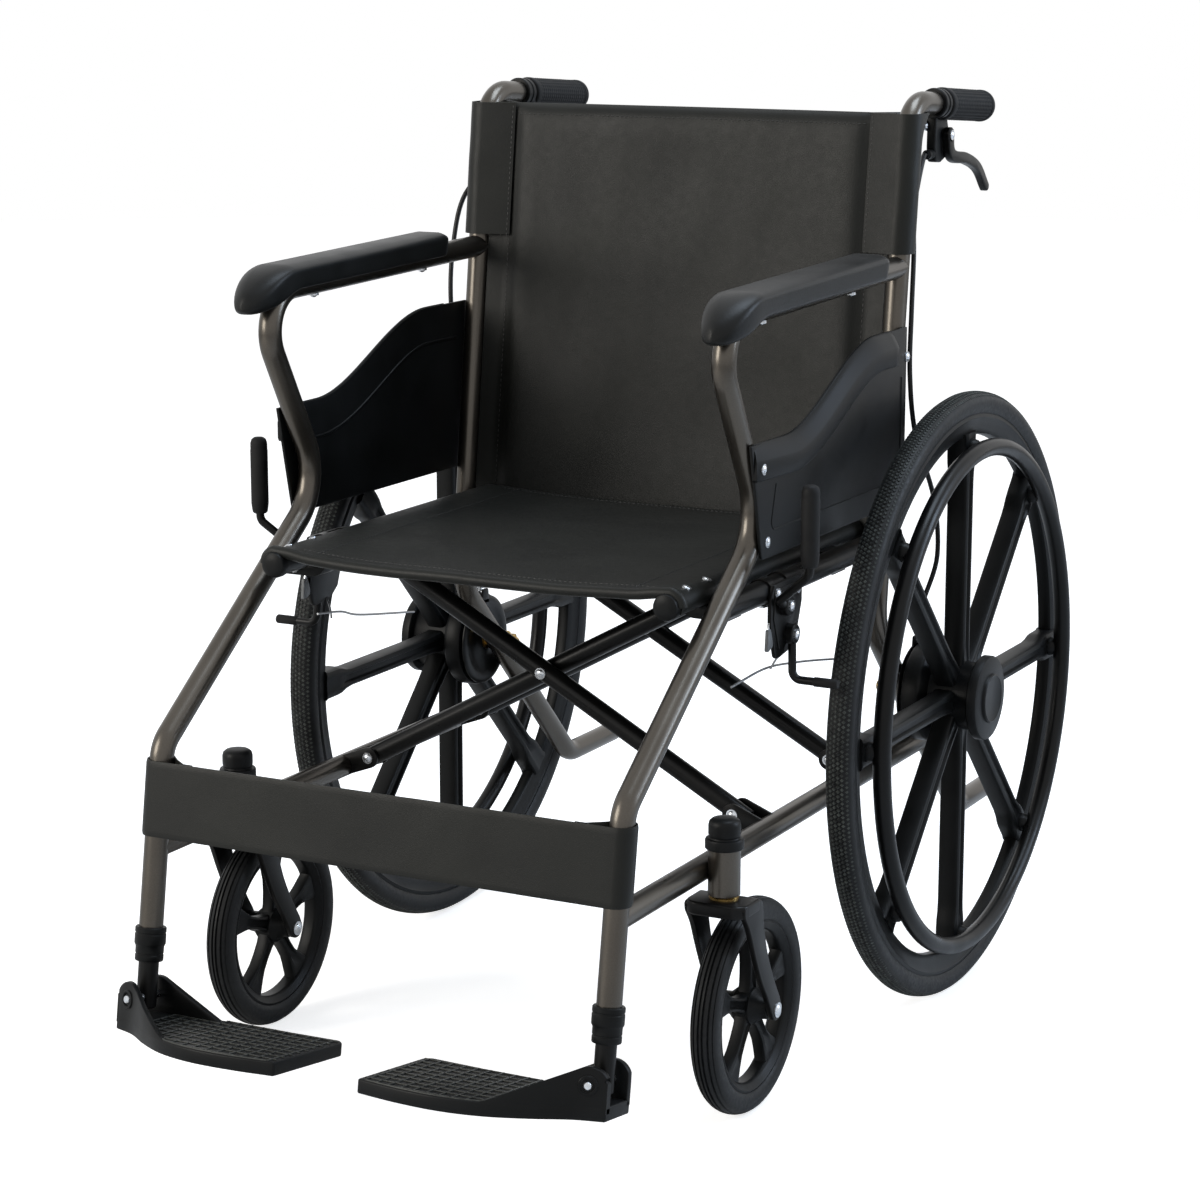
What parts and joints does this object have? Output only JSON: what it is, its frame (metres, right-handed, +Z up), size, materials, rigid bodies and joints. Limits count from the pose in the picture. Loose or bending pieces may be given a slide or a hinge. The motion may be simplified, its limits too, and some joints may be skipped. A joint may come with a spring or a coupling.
{
  "type": "folding wheelchair",
  "caption": "Folding self-propelled wheelchair with cloth seat and back, cast spoked rear wheels with hand rims, casters, skirt guards, footplates and brakes.",
  "frame": {"origin": "on the floor, in the middle of the chair's overall width and length", "axes": "+Z up, -Y the way the chair faces, +X towards the seated person's left"},
  "size_m": [0.653, 1.055, 0.9037],
  "materials": {
    "bronze_grey_paint": "satin metallic",
    "black_paint": "satin",
    "black_plastic": "fine grain",
    "black_rubber": "matt",
    "tyre_rubber": "matt",
    "leatherette": "fine grain, satin",
    "yellow_zinc": "yellow zinc plated",
    "cable_sheath": "smooth"
  },
  "bodies": {
    "left_frame": {"left_front_frame_tube": "bronze_grey_paint", "left_rear_frame_tube": "bronze_grey_paint", "left_seat_side_tube": "black_paint", "left_bottom_rail": "bronze_grey_paint", "left_rail_cradle": "black_plastic", "left_skirt_guard": "black_plastic", "left_arm_pad": "black_plastic", "left_push_grip": "black_rubber", "left_hand_brake_bracket": "black_plastic", "left_brake_cable": "cable_sheath", "left_drum_brake_plate": "black_paint", "left_axle_bolt": "yellow_zinc", "left_parking_brake_bracket": "black_paint", "left_stem_collar": "black_plastic", "back_sling": "leatherette", "calf_strap": "leatherette"},
    "brace_a": {"brace_a_front_bar": "black_paint", "brace_a_rear_bar": "black_paint", "right_seat_rail": "black_paint"},
    "brace_b": {"brace_b_front_bar": "black_paint", "brace_b_rear_bar": "black_paint", "left_seat_rail": "black_paint"},
    "right_frame": {"right_front_frame_tube": "bronze_grey_paint", "right_rear_frame_tube": "bronze_grey_paint", "right_seat_side_tube": "black_paint", "right_bottom_rail": "bronze_grey_paint", "right_rail_cradle": "black_plastic", "right_skirt_guard": "black_plastic", "right_arm_pad": "black_plastic", "right_push_grip": "black_rubber", "right_hand_brake_bracket": "black_plastic", "right_brake_cable": "cable_sheath", "right_drum_brake_plate": "black_paint", "right_axle_bolt": "yellow_zinc", "right_parking_brake_bracket": "black_paint", "right_stem_collar": "black_plastic"},
    "seat": {"seat_sling": "leatherette"},
    "left_wheel": {"left_rear_wheel": "black_plastic", "left_rear_tyre": "tyre_rubber", "left_hand_rim": "black_plastic"},
    "left_fork": {"left_caster_fork": "black_paint"},
    "left_caster": {"left_caster_wheel": "black_plastic", "left_caster_tyre": "tyre_rubber"},
    "left_foot_stem": {"left_foot_stem": "black_paint"},
    "left_footplate": {"left_footplate": "black_plastic"},
    "left_parking_lever": {"left_parking_brake_lever": "black_plastic"},
    "left_parking_shoe": {"left_parking_brake_shoe": "black_paint"},
    "left_hand_lever": {"left_hand_brake_lever": "black_plastic"},
    "right_wheel": {"right_rear_wheel": "black_plastic", "right_rear_tyre": "tyre_rubber", "right_hand_rim": "black_plastic"},
    "right_fork": {"right_caster_fork": "black_paint"},
    "right_caster": {"right_caster_wheel": "black_plastic", "right_caster_tyre": "tyre_rubber"},
    "right_foot_stem": {"right_foot_stem": "black_paint"},
    "right_footplate": {"right_footplate": "black_plastic"},
    "right_parking_lever": {"right_parking_brake_lever": "black_plastic"},
    "right_parking_shoe": {"right_parking_brake_shoe": "black_paint"},
    "right_hand_lever": {"right_hand_brake_lever": "black_plastic"}
  },
  "joints": [
    {"name": "fold", "type": "hinge", "parent": "left_frame", "child": "brace_a", "pos_m": [0.204, -0.09145, 0.252], "axis": [0, 1, 0], "range_deg": [0, 48.5], "deforming": ["seat_sling", "back_sling", "calf_strap"]},
    {"name": "brace_cross", "type": "hinge", "parent": "brace_a", "child": "brace_b", "pos_m": [0, -0.09145, 0.364], "axis": [0, 1, 0], "range_deg": [-97.5, 0]},
    {"name": "right_frame_level", "type": "hinge", "parent": "brace_b", "child": "right_frame", "pos_m": [-0.204, -0.09145, 0.252], "axis": [0, 1, 0], "range_deg": [0, 49]},
    {"name": "seat_level", "type": "hinge", "parent": "brace_b", "child": "seat", "pos_m": [0.204, -0.09145, 0.476], "axis": [0, 1, 0], "range_deg": [0, 49]},
    {"name": "left_wheel_spin", "type": "hinge", "parent": "left_frame", "child": "left_wheel", "pos_m": [0.2935, 0.22255, 0.305], "axis": [1, 0, 0], "continuous": true},
    {"name": "left_caster_swivel", "type": "hinge", "parent": "left_frame", "child": "left_fork", "pos_m": [0.2575, -0.24445, 0.20698], "axis": [0, 0, 1], "continuous": true},
    {"name": "left_caster_spin", "type": "hinge", "parent": "left_fork", "child": "left_caster", "pos_m": [0.2575, -0.19245, 0.1], "axis": [1, 0, 0], "continuous": true},
    {"name": "left_foot_slide", "type": "slide", "parent": "left_frame", "child": "left_foot_stem", "axis": [0, -0.1564, -0.9877], "range_m": [0, 0.04]},
    {"name": "left_footplate_lift", "type": "hinge", "parent": "left_foot_stem", "child": "left_footplate", "pos_m": [0.235, -0.43305, 0.10358], "axis": [0, 0.9877, -0.1564], "range_deg": [0, 84]},
    {"name": "left_parking_brake", "type": "hinge", "parent": "left_frame", "child": "left_parking_lever", "pos_m": [0.235, -0.11145, 0.456], "axis": [1, 0, 0], "range_deg": [0, 60]},
    {"name": "left_parking_shoe_turn", "type": "hinge", "parent": "left_frame", "child": "left_parking_shoe", "pos_m": [0.235, -0.09945, 0.427], "axis": [1, 0, 0], "range_deg": [0, 37]},
    {"name": "left_hand_brake", "type": "hinge", "parent": "left_frame", "child": "left_hand_lever", "pos_m": [0.235, 0.30655, 0.85598], "axis": [1, 0, 0], "range_deg": [0, 20], "stiffness_Nm_per_rad": 0.5, "springref_deg": -11.46},
    {"name": "right_wheel_spin", "type": "hinge", "parent": "right_frame", "child": "right_wheel", "pos_m": [-0.2935, 0.22255, 0.305], "axis": [1, 0, 0], "continuous": true},
    {"name": "right_caster_swivel", "type": "hinge", "parent": "right_frame", "child": "right_fork", "pos_m": [-0.2575, -0.24445, 0.20698], "axis": [0, 0, 1], "continuous": true},
    {"name": "right_caster_spin", "type": "hinge", "parent": "right_fork", "child": "right_caster", "pos_m": [-0.2575, -0.19245, 0.1], "axis": [1, 0, 0], "continuous": true},
    {"name": "right_foot_slide", "type": "slide", "parent": "right_frame", "child": "right_foot_stem", "axis": [0, -0.1564, -0.9877], "range_m": [0, 0.04]},
    {"name": "right_footplate_lift", "type": "hinge", "parent": "right_foot_stem", "child": "right_footplate", "pos_m": [-0.235, -0.43305, 0.10358], "axis": [0, -0.9877, 0.1564], "range_deg": [0, 84]},
    {"name": "right_parking_brake", "type": "hinge", "parent": "right_frame", "child": "right_parking_lever", "pos_m": [-0.235, -0.11145, 0.456], "axis": [1, 0, 0], "range_deg": [0, 60]},
    {"name": "right_parking_shoe_turn", "type": "hinge", "parent": "right_frame", "child": "right_parking_shoe", "pos_m": [-0.235, -0.09945, 0.427], "axis": [1, 0, 0], "range_deg": [0, 37]},
    {"name": "right_hand_brake", "type": "hinge", "parent": "right_frame", "child": "right_hand_lever", "pos_m": [-0.235, 0.30655, 0.85598], "axis": [1, 0, 0], "range_deg": [0, 20], "stiffness_Nm_per_rad": 0.5, "springref_deg": -11.46}
  ],
  "couplings": [
    {"joint": "brace_cross", "follows": "fold", "ratio": -2},
    {"joint": "right_frame_level", "follows": "fold", "ratio": 1},
    {"joint": "seat_level", "follows": "fold", "ratio": 1},
    {"joint": "left_footplate_lift", "follows": "fold", "ratio": 1.7},
    {"joint": "left_parking_shoe_turn", "follows": "left_parking_brake", "ratio": 0.6},
    {"joint": "right_footplate_lift", "follows": "fold", "ratio": 1.7},
    {"joint": "right_parking_shoe_turn", "follows": "right_parking_brake", "ratio": 0.6}
  ]
}
